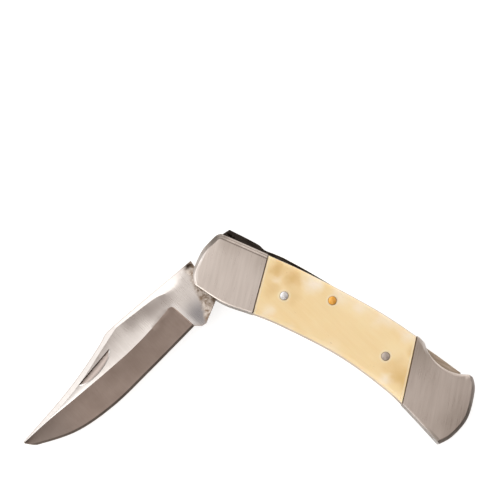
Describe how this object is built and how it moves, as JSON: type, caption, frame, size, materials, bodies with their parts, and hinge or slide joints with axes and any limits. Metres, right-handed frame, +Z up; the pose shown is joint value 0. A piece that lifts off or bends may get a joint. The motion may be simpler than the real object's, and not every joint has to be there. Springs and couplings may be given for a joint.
{
  "type": "folding pocket knife",
  "caption": "Folding pocket knife with a clip-point blade, a back lock pressed through a thumb notch, metal bolsters and smooth bone scales.",
  "frame": {"origin": "on the blade pivot's axis, in the plane of the right bolsters' outer faces, on which the knife lies", "axes": "+X along the handle from the pivot to the butt, +Y towards the handle's spine, +Z up out of the left side, the one with the nail nick"},
  "size_m": [0.113, 0.0886, 0.0118],
  "materials": {
    "blade_steel": "satin ground bevels, brushed flats",
    "bolster_metal": "brushed across the handle, warm grey nickel silver",
    "liner_steel": "satin",
    "bone": "smooth polished bone with ochre patches",
    "rivet_steel": "polished domed heads",
    "pin_brass": "polished domed heads",
    "hidden_steel": "plain ground",
    "dark_steel": "dark oxidised steel"
  },
  "bodies": {
    "handle": {"left_liner": "liner_steel", "left_front_bolster": "bolster_metal", "left_rear_bolster": "bolster_metal", "left_scale": "bone", "left_front_scale_rivet": "rivet_steel", "left_rear_scale_rivet": "rivet_steel", "left_bolster_rivet_1": "hidden_steel", "left_bolster_rivet_2": "hidden_steel", "right_liner": "liner_steel", "right_front_bolster": "bolster_metal", "right_rear_bolster": "bolster_metal", "right_scale": "bone", "right_front_scale_rivet": "rivet_steel", "right_rear_scale_rivet": "rivet_steel", "right_bolster_rivet_1": "hidden_steel", "right_bolster_rivet_2": "hidden_steel", "rear_spacer": "hidden_steel", "lock_spring": "hidden_steel", "blade_pivot_pin": "hidden_steel", "lock_pivot_pin": "pin_brass", "rear_bolster_pin_upper": "hidden_steel", "rear_bolster_pin_lower": "hidden_steel"},
    "blade": {"blade": "blade_steel"},
    "lock_bar": {"lock_bar": "dark_steel"}
  },
  "joints": [
    {"name": "blade_pivot", "type": "hinge", "parent": "handle", "child": "blade", "pos_m": [0, 0, 0.0059], "axis": [0, 0, -1], "range_deg": [-104, 64.3]},
    {"name": "lock_rocker", "type": "hinge", "parent": "handle", "child": "lock_bar", "pos_m": [0.0326, 0.00815, 0.0059], "axis": [0, 0, -1], "range_deg": [0, 2.5], "stiffness_Nm_per_rad": 2, "springref_deg": -5.73, "deforming": ["lock_spring"]}
  ]
}
